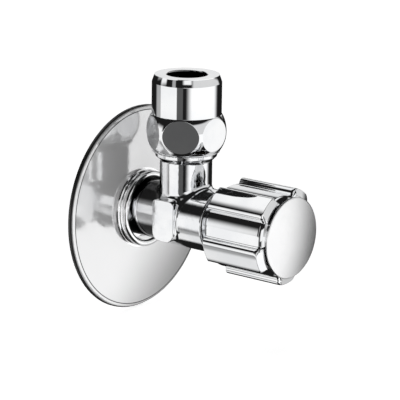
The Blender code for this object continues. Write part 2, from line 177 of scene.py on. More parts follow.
def skin(name, points, axis=RUN, angles=160, shape=None, gap=None):
    """Turn a closed profile, or one that starts and ends on the axis, into a closed mesh.

    shape(radius, height, angle) may change the radius and the height. With a gap, in radians, the ring is
    split there and its two ends are capped. Without a gap, the shading normals come from the formula and not
    from the facets.
    """
    if isinstance(angles, int):
        angles = np.arange(angles) * TURN / angles
    if gap is not None:
        angles = gap / 2 + angles * (TURN - gap) / angles[-1]
    closed = points[0][0] > 1e-6
    rings = points if closed else points[1:-1]

    def surface(profile, turned_by=0.0):
        radius = np.repeat(profile[:, :1], len(angles), axis=1)
        height = np.repeat(profile[:, 1:], len(angles), axis=1)
        angle = np.repeat((angles + turned_by)[None], len(profile), axis=0)
        if shape is not None:
            radius, height = shape(radius, height, angle)
        return to_world(radius, angle, height, axis)

    grid = surface(rings)
    ends = points[[0, -1]] if not closed else None
    before = np.roll(grid, 1, axis=0)
    after = np.roll(grid, -1, axis=0)
    if not closed:
        before[0] = to_world(np.zeros(1), np.zeros(1), ends[:1, 1], axis)
        after[-1] = to_world(np.zeros(1), np.zeros(1), ends[1:, 1], axis)
    along = unit(grid - before) + unit(after - grid)
    around = surface(rings, 1e-4) - surface(rings, -1e-4)
    normals = unit(np.cross(around, along)).reshape(-1, 3)

    count, total = grid.shape[:2]
    rows = np.arange(count if closed else count - 1)
    columns = np.arange(total if gap is None else total - 1)
    i, j = np.meshgrid(rows, columns, indexing="ij")
    up, right = (i + 1) % count, (j + 1) % total
    quads = np.stack([i * total + j, i * total + right, up * total + right, up * total + j], -1)
    faces = quads.reshape(-1, 4).tolist()
    coords = grid.reshape(-1, 3)
    if not closed:
        poles = to_world(np.zeros(2), np.zeros(2), ends[:, 1], axis)
        coords = np.concatenate([coords, poles])
        toward = to_world(np.zeros(2), np.zeros(2), np.array([0.0, 1.0]), axis)
        upward = unit(toward[1] - toward[0]) * (1 if ends[0, 1] > ends[1, 1] else -1)
        normals = np.concatenate([normals, [upward, -upward]])
        first, last, base = count * total, count * total + 1, (count - 1) * total
        faces += [[first, (k + 1) % total, k] for k in range(total)]
        faces += [[last, base + k, base + (k + 1) % total] for k in range(total)]
    if gap is not None:
        faces.append([row * total for row in range(count)])
        faces.append([row * total + total - 1 for row in reversed(range(count))])
        return mesh_piece(name, coords, faces, None)
    return mesh_piece(name, coords, faces, normals)


def unit(vectors):
    length = np.linalg.norm(vectors, axis=-1, keepdims=True)
    return vectors / np.maximum(length, 1e-12)


def mesh_piece(name, coords, faces, normals):
    """A smooth mesh with its faces turned outwards. normals are one direction per point."""
    sizes = np.array([len(face) for face in faces])
    corners = np.concatenate([np.asarray(face) for face in faces]) if sizes.max() > 4 else None
    if volume(coords, faces, sizes) < 0:
        faces = [face[::-1] for face in faces]
    mesh = bpy.data.meshes.new(name)
    mesh.from_pydata(coords.tolist(), [], faces)
    mesh.shade_smooth()
    if normals is None:
        mesh.set_sharp_from_angle(angle=math.radians(35))
    else:
        facet = np.zeros(len(coords) * 3, np.float32)
        mesh.vertex_normals.foreach_get("vector", facet)
        facing = np.sign((facet.reshape(-1, 3) * normals).sum(1))
        if facing.mean() < 0:
            normals = -normals
        mesh.normals_split_custom_set_from_vertices(normals.tolist())
    piece = bpy.data.objects.new(name, mesh)
    bpy.context.scene.collection.objects.link(piece)
    return piece


def volume(coords, faces, sizes):
    """Signed volume, from a fan of triangles in each face."""
    total = 0.0
    for size in np.unique(sizes):
        chosen = np.array([face for face in faces if len(face) == size])
        for k in range(1, size - 1):
            a, b, c = coords[chosen[:, 0]], coords[chosen[:, k]], coords[chosen[:, k + 1]]
            total += float((a * np.cross(b, c)).sum())
    return total


def smooth_min(a, b, width):
    share = np.clip(0.5 + 0.5 * (b - a) / width, 0, 1)
    return b + (a - b) * share - width * share * (1 - share)


def smooth_max(a, b, width):
    return -smooth_min(-a, -b, width)


def smooth_step(value, low, high):
    share = np.clip((value - low) / (high - low), 0, 1)
    return share * share * (3 - 2 * share)


def off_flat(angle, sides, spin):
    """How far an angle is from the middle of the nearest flat."""
    step = TURN / sides
    return np.abs((angle - spin + step / 2) % step - step / 2)


def helix(angle, height, pitch):
    """0 on a right-hand thread's root, 1 on its crest, with rounded tops."""
    phase = (height / pitch - angle / TURN) % 1.0
    return 0.5 - 0.5 * np.cos(TURN * phase) + 0.035 * np.cos(3 * TURN * phase)


def finish_as(piece, node, material):
    """The piece takes a CAD node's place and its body."""
    bodies = frame["record"]["behaviour"]["bodies"]
    piece.data.materials.append(material)
    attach(piece, next(body for body, nodes in bodies.items() if node in nodes))
    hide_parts(node)
    return piece


# ---------------------------------------------------------------- materials


class Nodes:
    """Short calls for building a node tree."""

    def __init__(self, tree):
        self.tree = tree

    def add(self, kind, settings=(), **inputs):
        node = self.tree.nodes.new(kind)
        for key, value in dict(settings).items():
            setattr(node, key, value)
        for key, value in inputs.items():
            self.feed(node.inputs[key.replace("_", " ")], value)
        return node

    def feed(self, socket, value):
        if isinstance(value, bpy.types.NodeSocket):
            self.tree.links.new(value, socket)
        else:
            socket.default_value = value

    def math(self, operation, *values):
        node = self.add("ShaderNodeMath", {"operation": operation})
        for socket, value in zip(node.inputs, values):
            self.feed(socket, value)
        return node.outputs[0]

    def ramp(self, value, low, high, start=0.0, end=1.0, smooth=True):
        kind = "SMOOTHSTEP" if smooth else "LINEAR"
        node = self.add("ShaderNodeMapRange", {"interpolation_type": kind})
        for socket, item in zip(node.inputs, (value, low, high, start, end)):
            self.feed(socket, item)
        return node.outputs[0]

    def band(self, value, low, high):
        """A ramp between two places given in millimetres."""
        return self.ramp(value, low * MM, high * MM)

    def length(self, a, b):
        return self.math("SQRT", self.math("ADD", self.math("POWER", a, 2.0), self.math("POWER", b, 2.0)))

    def noise(self, scale, detail=2.0, stretch=(1, 1, 1), distortion=0.0):
        place = self.add("ShaderNodeTexCoord")
        mapped = self.add("ShaderNodeMapping", Vector=place.outputs["Object"], Scale=stretch)
        node = self.add("ShaderNodeTexNoise", Vector=mapped.outputs[0], Scale=scale, Detail=detail)
        node.inputs["Distortion"].default_value = distortion
        return node.outputs["Fac"]

    def blend(self, share, dark, light):
        node = self.add("ShaderNodeMix", {"data_type": "RGBA"})
        self.feed(node.inputs[0], share)
        self.feed(node.inputs[6], (*dark, 1.0))
        self.feed(node.inputs[7], (*light, 1.0))
        return node.outputs[2]


def new_material(name, metallic, ior=1.5):
    material = bpy.data.materials.new(name)
    material.use_nodes = True
    shader = material.node_tree.nodes["Principled BSDF"]
    shader.inputs["Metallic"].default_value = metallic
    shader.inputs["IOR"].default_value = ior
    return material, Nodes(material.node_tree), shader


def metal(name, dark, light, rough, tone_scale, grain=(), scratch=0.0, metallic=1.0):
    """A metal: wandering tone and roughness, grain as (scale, height, stretch) layers, fine scratches."""
    material, nodes, shader = new_material(name, metallic)
    tone = nodes.ramp(nodes.noise(tone_scale, 3.0), 0.35, 0.65)
    nodes.feed(shader.inputs["Base Color"], nodes.blend(tone, dark, light))
    worn = nodes.noise(tone_scale * 6, 4.0, distortion=0.6)
    rough_low, rough_high = rough
    roughness = nodes.ramp(worn, 0.3, 0.7, rough_low, rough_high)
    height = None
    for scale, rise, stretch in grain:
        layer = nodes.math("MULTIPLY", nodes.noise(scale, 3.0, stretch), rise * MM)
        height = layer if height is None else nodes.math("ADD", height, layer)
    if scratch:
        lines = nodes.noise(900.0, 6.0, (1.0, 14.0, 14.0), distortion=1.5)
        marks = nodes.ramp(lines, 0.62, 0.7, 0.0, scratch)
        roughness = nodes.math("ADD", roughness, marks)
    nodes.feed(shader.inputs["Roughness"], roughness)
    if height is not None:
        bump = nodes.add("ShaderNodeBump", Strength=1.0, Distance=1.0, Height=height)
        nodes.feed(shader.inputs["Normal"], bump.outputs[0])
    return material


def place_parts(nodes):
    """X, Y and Z of the shaded point, in metres."""
    place = nodes.add("ShaderNodeTexCoord").outputs["Object"]
    split = nodes.add("ShaderNodeSeparateXYZ", Vector=place).outputs
    return split["X"], split["Y"], split["Z"]


def mix_into(material, socket, share, value):
    """Mix a new value into one of a metal's inputs by a share from 0 to 1."""
    nodes = Nodes(material.node_tree)
    plain = material.node_tree.nodes["Principled BSDF"].inputs[socket]
    colour = socket == "Base Color"
    first, result = (6, 2) if colour else (2, 0)
    mixed = nodes.add("ShaderNodeMix", {"data_type": "RGBA" if colour else "FLOAT"})
    nodes.feed(mixed.inputs[0], share)
    before = plain.links[0].from_socket if plain.is_linked else plain.default_value
    nodes.feed(mixed.inputs[first], before)
    nodes.feed(mixed.inputs[first + 1], (value, value, value, 1.0) if colour else value)
    nodes.feed(plain, mixed.outputs[result])


def paint_shade_in_bore(material, axis_y, radius, low, high, tone):
    """Darken a metal's colour inside a bore along Z, as painted shade."""
    nodes = Nodes(material.node_tree)
    x, y, z = place_parts(nodes)
    inside = nodes.band(nodes.length(x, nodes.math("ADD", y, axis_y * MM)), radius + 0.15, radius)
    mix_into(material, "Base Color", nodes.math("MULTIPLY", inside, nodes.band(z, high, low)), tone)


def shade_rosette(material):
    """Paint on shading: darker to the lower right, lines at the rolled rim, and a full mirror on the bead."""
    slant_start, slant_end, slant_tone = 2.0, 44.0, 0.36
    edge_start, edge_end, groove_start, groove_end = 27.62, 27.8, 26.6, 26.96
    line_soft, line_tone = 0.12, 0.04
    bead_end, bead_soft = 11.2, 0.4
    nodes = Nodes(material.node_tree)
    x, _, z = place_parts(nodes)
    rise = nodes.math("ADD", z, ROSETTE_DROP * MM)
    away = nodes.length(x, rise)
    slant = nodes.band(nodes.math("SUBTRACT", x, rise), slant_start, slant_end)
    mix_into(material, "Base Color", slant, slant_tone)
    groove_in = nodes.band(away, groove_start, groove_start + line_soft)
    groove_out = nodes.band(away, groove_end, groove_end - line_soft)
    groove = nodes.math("MULTIPLY", groove_in, groove_out)
    lines = nodes.math("MAXIMUM", nodes.band(away, edge_start, edge_end), groove)
    mix_into(material, "Base Color", lines, line_tone)
    mix_into(material, "Metallic", nodes.band(away, bead_end, bead_end - bead_soft), 1.0)


def shade_spigot(material):
    """Paint on shading: between rosette and pads the spigot is dark above and below a light band."""
    above_start, below_start, soft, tone = 2.9, -1.3, 1.5, 0.05
    wall_start, wall_end, pad_start, pad_end = 1.5, 3.0, 13.1, 13.35
    nodes = Nodes(material.node_tree)
    _, y, z = place_parts(nodes)
    height = nodes.math("MULTIPLY", y, -1.0)
    above = nodes.band(z, above_start, above_start + soft)
    below = nodes.band(z, below_start, below_start - soft)
    clear_of_pads = nodes.band(height, pad_end, pad_start)
    along = nodes.math("MULTIPLY", clear_of_pads, nodes.band(height, wall_start, wall_end))
    dark = nodes.math("MULTIPLY", nodes.math("MAXIMUM", above, below), along)
    mix_into(material, "Base Color", dark, tone)


def polymer(name, dark, light, rough, tone_scale, grain_scale, grain_height):
    """Rubber, fibre or plastic: mottled colour, uneven sheen and a moulded or fibrous grain."""
    material, nodes, shader = new_material(name, 0.0)
    tone = nodes.ramp(nodes.noise(tone_scale, 4.0), 0.3, 0.7)
    nodes.feed(shader.inputs["Base Color"], nodes.blend(tone, dark, light))
    nodes.feed(shader.inputs["Roughness"], nodes.ramp(nodes.noise(tone_scale * 3, 3.0), 0.3, 0.7, *rough))
    height = nodes.math("MULTIPLY", nodes.noise(grain_scale, 4.0), grain_height * MM)
    bump = nodes.add("ShaderNodeBump", Strength=1.0, Distance=1.0, Height=height)
    nodes.feed(shader.inputs["Normal"], bump.outputs[0])
    return material


PLATE_DARK, PLATE_LIGHT = (0.86, 0.87, 0.885), (0.93, 0.935, 0.94)
cast_chrome = metal(
    "cast_chrome",
    PLATE_DARK,
    PLATE_LIGHT,
    (0.05, 0.1),
    160.0,
    grain=((520.0, 0.012, (1, 1, 1)), (1500.0, 0.0035, (1, 1, 1))),
)
nut_chrome = metal("nut_chrome", PLATE_DARK, PLATE_LIGHT, (0.02, 0.045), 120.0, scratch=0.03)
knob_chrome = metal("knob_chrome", PLATE_DARK, PLATE_LIGHT, (0.02, 0.05), 110.0, scratch=0.03)
# Painted shade: the nut's colour goes almost black inside its tube hole.
paint_shade_in_bore(nut_chrome, OUTLET_AXIS, TUBE_HOLE + 0.3, 38.0, 38.3, 0.02)
rosette_chrome = metal(
    "rosette_satin_chrome",
    (0.95, 0.95, 0.955),
    (0.97, 0.97, 0.975),
    (0.1, 0.13),
    70.0,
    metallic=0.5,
)
shade_rosette(rosette_chrome)
shade_spigot(cast_chrome)
cap_chrome = metal(
    "cap_satin_chrome",
    (0.9, 0.9, 0.905),
    (0.92, 0.92, 0.925),
    (0.21, 0.24),
    120.0,
)
brass_grain, steel_grain = ((1800.0, 0.002, (1, 1, 1)),), ((2200.0, 0.002, (1, 1, 1)),)
brass_metal = metal("turned_brass", (0.66, 0.45, 0.17), (0.82, 0.61, 0.28), (0.22, 0.36), 420.0, brass_grain)
steel_metal = metal("stainless_steel", (0.5, 0.5, 0.51), (0.66, 0.66, 0.67), (0.2, 0.34), 500.0, steel_grain)
# Painted shade: a near-black brass colour for the clamping ring and the headwork body, which sit in shade.
shade_dark_brass = metal("brass_dark_as_painted_shade", (0.03, 0.022, 0.012), (0.06, 0.045, 0.025), (0.45, 0.6), 420.0)
RUBBER_DARK, RUBBER_LIGHT = (0.012, 0.012, 0.013), (0.03, 0.03, 0.032)
GASKET_DARK, GASKET_LIGHT = (0.018, 0.018, 0.018), (0.045, 0.045, 0.045)
PLASTIC_DARK, PLASTIC_LIGHT = (0.74, 0.74, 0.7), (0.86, 0.86, 0.83)
black_rubber = polymer("black_rubber", RUBBER_DARK, RUBBER_LIGHT, (0.45, 0.7), 700.0, 3000.0, 0.004)
flat_gasket = polymer("flat_gasket", GASKET_DARK, GASKET_LIGHT, (0.6, 0.85), 900.0, 2600.0, 0.008)
slide_plastic = polymer("slide_plastic", PLASTIC_DARK, PLASTIC_LIGHT, (0.3, 0.45), 600.0, 2600.0, 0.002)


# ---------------------------------------------------------------- rosette


def make_rosette():
    """Pressed cover plate: rolled rim, faintly crowned face and a rolled bead round the spigot."""
    radius, back, front = run_size("wall_rosette")
    bore, bead, sheet, face = 8.6, 0.9, 0.8, 2.2
    crown = 0.6
    middle = bore + bead
    profile = [(bore, back, 0.1), (bore, front - bead, 0)]
    for degrees in range(165, -46, -15):
        angle = math.radians(degrees)
        profile.append((middle + bead * math.cos(angle), front - bead + bead * math.sin(angle), 0))
    foot = middle + bead * math.cos(math.radians(-45))
    profile += [
        (foot - 0.12, face + 0.32, 0.2),
        (foot + 0.25, face, 0.25),
        *(
            (foot + 0.25 + (radius - 1.4 - foot) * k / 8, face - crown * (k / 8) ** 2, 0)
            for k in range(1, 8)
        ),
        (radius - 1.2, face - crown, 0.6),
        (radius - 0.45, face - crown - 0.2, 0.4),
        (radius, face - crown - 0.95, 0.5),
        (radius, back, 0.1),
        (radius - sheet, back, 0.1),
        (radius - sheet, back + face - crown - sheet, 0.5),
        (bore + 0.7, back + face - sheet, 0.4),
        (bore + 0.7, back, 0.1),
    ]
    piece = skin("rosette", round_corners(profile, True), angles=256)
    piece.data.transform(Matrix.Translation((0, 0, -ROSETTE_DROP * MM)))
    return finish_as(piece, "wall_rosette", rosette_chrome)


# ---------------------------------------------------------------- union nut and what it holds


def make_union_nut():
    """Compression nut: six flats milled on a barrel, a plain sleeve above and a real thread inside."""
    _, bottom, top = outlet_size("union_nut")
    barrel_radius, barrel_arc, barrel_middle = 10.7, 8.7, 23.2
    sleeve, sleeve_start, chamfer_start, top_radius = 9.3, 27.9, 36.4, 8.6
    bore, clamp_bore = THREAD_CREST + 0.34, 7.6
    thread_low, thread_high = bottom + 0.5, 27.2
    centre = barrel_radius - barrel_arc

    def barrel(z):
        return centre + math.sqrt(barrel_arc**2 - (z - barrel_middle) ** 2)

    low, high, steps = bottom + 0.35, sleeve_start - 0.25, 96
    outer = [(barrel(z), z, 0) for z in (high + (low - high) * i / steps for i in range(steps + 1))]
    profile = [
        (TUBE_HOLE, top, 0.35),
        (top_radius, top, 0.1),
        (sleeve, chamfer_start, 0.1),
        (sleeve, sleeve_start - 0.05, 0.06),
        *outer,
        (barrel(low) - 0.3, bottom, 0.15),
        (bore + 0.45, bottom, 0.1),
        (bore, bottom + 0.45, 0.1),
        (bore, thread_high + 0.1, 0.1),
        (clamp_bore, thread_high + 0.7, 0.1),
        (clamp_bore, 34.6, 0.1),
        (TUBE_HOLE, 36.1, 0.2),
    ]
    points = round_corners(profile, True)
    points = refine(points, bottom + 0.4, thread_high + 0.15, 0.09)

    def shape(radius, height, angle):
        flat = ACROSS_FLATS / 2 / np.cos(off_flat(angle, 6, math.radians(30)))
        on_barrel = (radius > 9.0) & (height < sleeve_start - 0.1)
        cut = smooth_min(radius, flat, 0.035)
        inside = (radius > clamp_bore + 0.5) & (radius < bore + 0.05)
        fade = smooth_step(height, thread_low - 0.3, thread_low + 0.7)
        fade = fade * (1 - smooth_step(height, thread_high - 0.5, thread_high))
        male = THREAD_ROOT + (THREAD_CREST - THREAD_ROOT) * helix(angle, height, THREAD_PITCH)
        groove = (male + THREAD_GAP - bore) * fade + bore
        radius = np.where(on_barrel, cut, np.where(inside, groove, radius))
        return radius, height

    piece = skin("union_nut_shell", points, OUTLET, 720, shape)
    return finish_as(piece, "union_nut", nut_chrome)


def make_compression_set():
    """Rubber cone seal, steel washer and brass clamping ring."""
    radius, bottom, top = outlet_size("outlet_seal")
    profile = [
        (TUBE_HOLE, top, 0.12),
        (radius, top, 0.12),
        (radius, bottom + 0.7, 0.15),
        (TUBE_HOLE + 0.45, bottom, 0.12),
        (TUBE_HOLE, bottom, 0.1),
    ]
    finish_as(skin("cone_seal", round_corners(profile, True), OUTLET), "outlet_seal", black_rubber)

    radius, bottom, top = outlet_size("seal_washer")
    profile = [(TUBE_HOLE, top, 0.12), (radius, top, 0.2), (radius, bottom, 0.12), (TUBE_HOLE, bottom, 0.06)]
    finish_as(skin("pressure_washer", round_corners(profile, True), OUTLET), "seal_washer", steel_metal)

    radius, bottom, top = outlet_size("clamping_ring")
    waist = 0.25
    profile = [
        (TUBE_HOLE, top, 0.1),
        (TUBE_HOLE + 0.5, top, 0.15),
        (radius, top - 1.4, 0.2),
        (radius, top - 2.6, 0.1),
        (radius - waist, top - 2.9, 0.1),
        (radius - waist, bottom + 1.5, 0.1),
        (radius, bottom + 1.2, 0.1),
        (radius, bottom + 0.5, 0.1),
        (radius - 0.5, bottom, 0.1),
        (TUBE_HOLE, bottom, 0.1),
    ]
    # Painted shade: the clamping ring takes the near-black brass.
    finish_as(skin("clamp_olive", round_corners(profile, True), OUTLET), "clamping_ring", shade_dark_brass)


# ---------------------------------------------------------------- headwork, spindle and piston


def threaded(radius, height, angle, crest, root, low, high, pitch, fade=0.4):
    """Radius with a helical thread between two heights, where the radius is already near the crest."""
    share = smooth_step(height, low, low + fade) * (1 - smooth_step(height, high - fade, high))
    turned = root + (crest - root) * helix(angle, height, pitch)
    near = (radius > root - 0.05) & (radius < crest + 0.05)
    return np.where(near, radius + (turned - radius) * share, radius)


def make_headwork():
    """Headwork body: screwed shank, hexagon flange and nose."""
    _, back, front = run_size("headwork_body")
    shank, nose, bore, spindle_bore, shoulder = 4.9, 4.6, 3.8, 3.0, 33.2
    flange_back, flange_front, flats = 31.8, 33.6, 11.4
    corner = flats / 2 / math.cos(math.radians(30)) - 0.35
    profile = [
        (bore, back, 0.2),
        (shank - 0.6, back, 0.1),
        (shank, back + 0.6, 0.1),
        (shank, flange_back - 0.8, 0.1),
        (shank - 0.4, flange_back - 0.6, 0.1),
        (shank - 0.4, flange_back, 0.1),
        (corner - 0.4, flange_back, 0.1),
        (corner, flange_back + 0.3, 0.1),
        (corner, flange_front - 0.3, 0.1),
        (corner - 0.5, flange_front, 0.1),
        (nose, flange_front, 0.15),
        (nose, front - 0.4, 0.1),
        (nose - 0.4, front, 0.1),
        (spindle_bore, front, 0.12),
        (spindle_bore, shoulder, 0.1),
        (bore, shoulder, 0.1),
    ]
    points = refine(round_corners(profile, True), back + 0.5, flange_back, 0.09)

    def shape(radius, height, angle):
        radius = threaded(radius, height, angle, shank, shank - 0.5, back + 0.4, flange_back - 1.2, 1.0)
        flat = flats / 2 / np.cos(off_flat(angle, 6, 0.0))
        on_flange = (height > flange_back - 0.01) & (height < flange_front + 0.01) & (radius > nose + 0.3)
        return np.where(on_flange, smooth_min(radius, flat, 0.06), radius), height

    # Painted shade: the headwork body takes the near-black brass.
    finish_as(skin("headwork_shell", points, angles=240, shape=shape), "headwork_body", shade_dark_brass)

    radius, back, front = run_size("headwork_gasket")
    profile = [
        (CHAMBER_RADIUS, back, 0.1),
        (radius, back, 0.15),
        (radius, front, 0.15),
        (CHAMBER_RADIUS, front, 0.1),
    ]

    def uneven(radius, height, angle):
        bulge = 0.03 * (1 - np.cos(7 * angle)) * (radius > CHAMBER_RADIUS + 0.5)
        return radius - bulge, height

    finish_as(skin("neck_gasket", round_corners(profile, True), shape=uneven), "headwork_gasket", flat_gasket)


def make_rings():
    """O-rings with a fine mould line, and the flat rings."""
    places = {
        "spindle_inner_o_ring": ("inner_seal_ring", 0.45),
        "spindle_outer_o_ring": ("outer_seal_ring", 0.45),
        "piston_o_ring": ("piston_seal_ring", 0.38),
    }
    for node, (name, section) in places.items():
        radius, back, front = run_size(node)
        section = (front - back) / 2
        middle = radius - section
        points = []
        for k in range(32):
            angle = k * TURN / 32
            size = section * (0.955 + 0.045 * math.exp(-((math.sin(angle) / 0.12) ** 2)))
            points.append((middle + size * math.cos(angle), (back + front) / 2 - size * math.sin(angle)))
        finish_as(skin(name, np.array(points)), node, black_rubber)

    radius, back, front = run_size("thrust_washer")
    profile = [(2.9, back, 0.1), (radius, back, 0.1), (radius, front, 0.1), (2.9, front, 0.1)]
    finish_as(skin("slide_washer", round_corners(profile, True)), "thrust_washer", slide_plastic)

    radius, back, front = run_size("spindle_retaining_ring")
    inner, split = 2.2, math.radians(38)
    profile = [(inner, back, 0.08), (radius, back, 0.08), (radius, front, 0.08), (inner, front, 0.08)]

    def snap_ring(rho, height, angle):
        lug = smooth_step(np.abs(angle - math.pi), math.radians(140), math.radians(155))
        waist = 0.35 * (1 - lug) * (0.5 - 0.5 * np.cos(angle)) ** 0.5
        return np.where(rho > inner + 0.5, rho - 0.35 + waist * 0.6 + 0.35 * lug, rho), height

    ring = skin("snap_ring", round_corners(profile, True), angles=120, shape=snap_ring, gap=split)
    finish_as(ring, "spindle_retaining_ring", steel_metal)


def make_spindle():
    """Non-rising spindle: drive thread, collar, two seal grooves and a splined end with a screw hole."""
    _, back, front = run_size("spindle")
    radius, thread_radius, collar = 2.6, 1.8, 3.4
    hole, hole_end, spline_start = 1.6, 41.5, 39.9
    profile = [
        (0, back, 0),
        (thread_radius - 0.5, back, 0.1),
        (thread_radius, back + 0.5, 0.1),
        (thread_radius, 30.6, 0.05),
        (thread_radius - 0.35, 30.75, 0.05),
        (thread_radius - 0.35, 31.0, 0.05),
        (collar, 31.0, 0.15),
        (collar, 32.0, 0.15),
        (radius, 32.0, 0.1),
    ]
    for middle, half, depth in ((34.6, 0.75, 1.6), (36.8, 0.75, 1.6), (38.8, 0.5, 1.95)):
        profile += [(radius, middle - half, 0.06), (depth, middle - half, 0.1)]
        profile += [(depth, middle + half, 0.1), (radius, middle + half, 0.06)]
    profile += [
        (radius, front - 0.35, 0.1),
        (radius - 0.35, front, 0.1),
        (hole + 0.25, front, 0.05),
        (hole, front - 0.25, 0.05),
        (hole, hole_end + 0.4, 0.05),
        (0, hole_end, 0),
    ]
    points = refine(round_corners(profile, False), back + 0.5, 30.6, 0.08)
    points = refine_open(points)

    def shape(rho, height, angle):
        rho = threaded(rho, height, angle, thread_radius, thread_radius - 0.35, back + 0.4, 30.5, 1.0)
        outside = (rho > radius - 0.4) & (height > spline_start)
        tooth = smooth_step(height, spline_start, spline_start + 0.5) * 0.09 * (1 - np.cos(20 * angle))
        return np.where(outside, rho - tooth, rho), height

    piece = skin("spindle_stem", points, angles=160, shape=shape)
    finish_as(piece, "spindle", brass_metal)


def refine_open(points):
    """Drop what refine added between the last point and the first: an open profile has no such stretch."""
    last = int(np.argmin(np.abs(points[:, 0]) + 1e3 * (np.arange(len(points)) == 0)))
    return points[: last + 1]


def make_piston():
    """The piston, its washer and the slotted screw that holds the washer."""
    _, back, front = run_size("valve_piston")
    stem, head, head_front = 3.4, 4.6, back + 1.6
    bore, screw_bore, bore_end = 2.1, 1.2, 18.5
    groove, groove_half, groove_depth = 23.5, 0.65, 2.7
    profile = [
        (screw_bore, back, 0.1),
        (head, back, 0.15),
        (head, head_front, 0.15),
        (stem, head_front, 0.2),
        (stem, groove - groove_half, 0.06),
        (groove_depth, groove - groove_half, 0.1),
        (groove_depth, groove + groove_half, 0.1),
        (stem, groove + groove_half, 0.06),
        (stem, front - 0.3, 0.1),
        (stem - 0.3, front, 0.1),
        (bore + 0.3, front, 0.1),
        (bore, front - 0.3, 0.1),
        (bore, bore_end + 0.6, 0.1),
        (screw_bore, bore_end, 0.1),
    ]
    points = refine(round_corners(profile, True), head_front, groove - groove_half, 0.3)

    def shape(rho, height, angle):
        key = (height > head_front + 0.3) & (height < groove - groove_half - 0.5) & (rho > bore + 0.4)
        flat = (stem - 0.3) / np.cos(off_flat(angle, 2, 0.0))
        return np.where(key, np.minimum(rho, flat), rho), height

    finish_as(skin("piston_shell", points, shape=shape), "valve_piston", brass_metal)

    radius, back, front = run_size("seat_washer")
    bite = (3.0, 3.4)
    profile = [
        (screw_bore, back, 0.1),
        (bite[0], back, 0.08),
        (bite[0] + 0.1, back + 0.12, 0.05),
        (bite[1] - 0.1, back + 0.12, 0.05),
        (bite[1], back, 0.08),
        (radius, back, 0.3),
        (radius, front, 0.2),
        (screw_bore, front, 0.1),
    ]
    finish_as(skin("seat_disc", round_corners(profile, True)), "seat_washer", black_rubber)

    radius, back, front = run_size("washer_screw")
    shank, head = 0.9, radius
    profile = [(0, back, 0), (1.7, back, 0.3), (head, back + 0.5, 0.2), (head, SEAT_FACE, 0.08)]
    profile += [(shank, SEAT_FACE, 0.06), (shank, front - 0.4, 0.1), (shank - 0.4, front, 0.1), (0, front, 0)]
    threads = (SEAT_FACE + 0.4, front - 0.3)
    slotted_screw("washer_fixing_screw", "washer_screw", profile, back, 0.6, shank, threads)


def slotted_screw(name, node, profile, face, depth, shank, threads, cross=False):
    """A machine screw with a straight or crossed recess in its head and a thread on its shank."""
    points = round_corners(profile, False)
    points = radial_fine(points, face)
    points = refine_open(refine(points, threads[0] - 0.1, threads[1] + 0.1, 0.06))
    sunk = 1 if abs(points[0][1] - face) < 0.2 and points[0][1] < points[-1][1] else -1

    def shape(rho, height, angle):
        rho = threaded(rho, height, angle, shank, shank - 0.16, threads[0], threads[1], 0.5, 0.2)
        across = np.abs(rho * np.sin(angle))
        along = np.abs(rho * np.cos(angle))
        if cross:
            reach = smooth_step(np.maximum(across, along), 1.9, 1.5)
            slot = smooth_step(np.minimum(across, along), 0.42, 0.28) * reach
        else:
            slot = smooth_step(across, 0.38, 0.26)
        on_face = smooth_step(np.abs(height - face), 0.4, 0.2)
        return rho, height + sunk * depth * slot * on_face

    finish_as(skin(name, points, angles=192, shape=shape), node, steel_metal)


def radial_fine(points, face, step=0.07):
    """Add rings across a head's face."""
    fine = []
    for here, after in zip(points, list(points[1:]) + [points[-1]]):
        fine.append(here)
        if abs(here[1] - face) < 0.35 and abs(after[1] - face) < 0.35:
            pieces = math.ceil(np.linalg.norm(after - here) / step)
            fine += [here + (after - here) * k / pieces for k in range(1, pieces)]
    return np.array(fine)


# ---------------------------------------------------------------- knob

FLUTES = 5
FLUTE_PHASE = math.radians(13.3)
FLUTE_HALF = math.radians(16.8)
FLUTE_WALL = 0.25
LOBE_FILLET = 1.6


def knob_angles():
    """Angles that are close together at the flute walls and wider elsewhere."""
    half = TURN / FLUTES / 2
    wall_low, wall_high = FLUTE_HALF - math.radians(1.5), FLUTE_HALF + math.radians(14)
    side = list(np.linspace(0, wall_low, 9, endpoint=False))
    side += list(np.linspace(wall_low, wall_high, 56, endpoint=False))
    side += list(np.linspace(wall_high, half, 4, endpoint=False))
    offsets = [-offset for offset in reversed(side[1:])] + side
    flute = [k * TURN / FLUTES + offset for k in range(FLUTES) for offset in offsets + [half]]
    return np.array(flute) + math.pi - FLUTE_PHASE


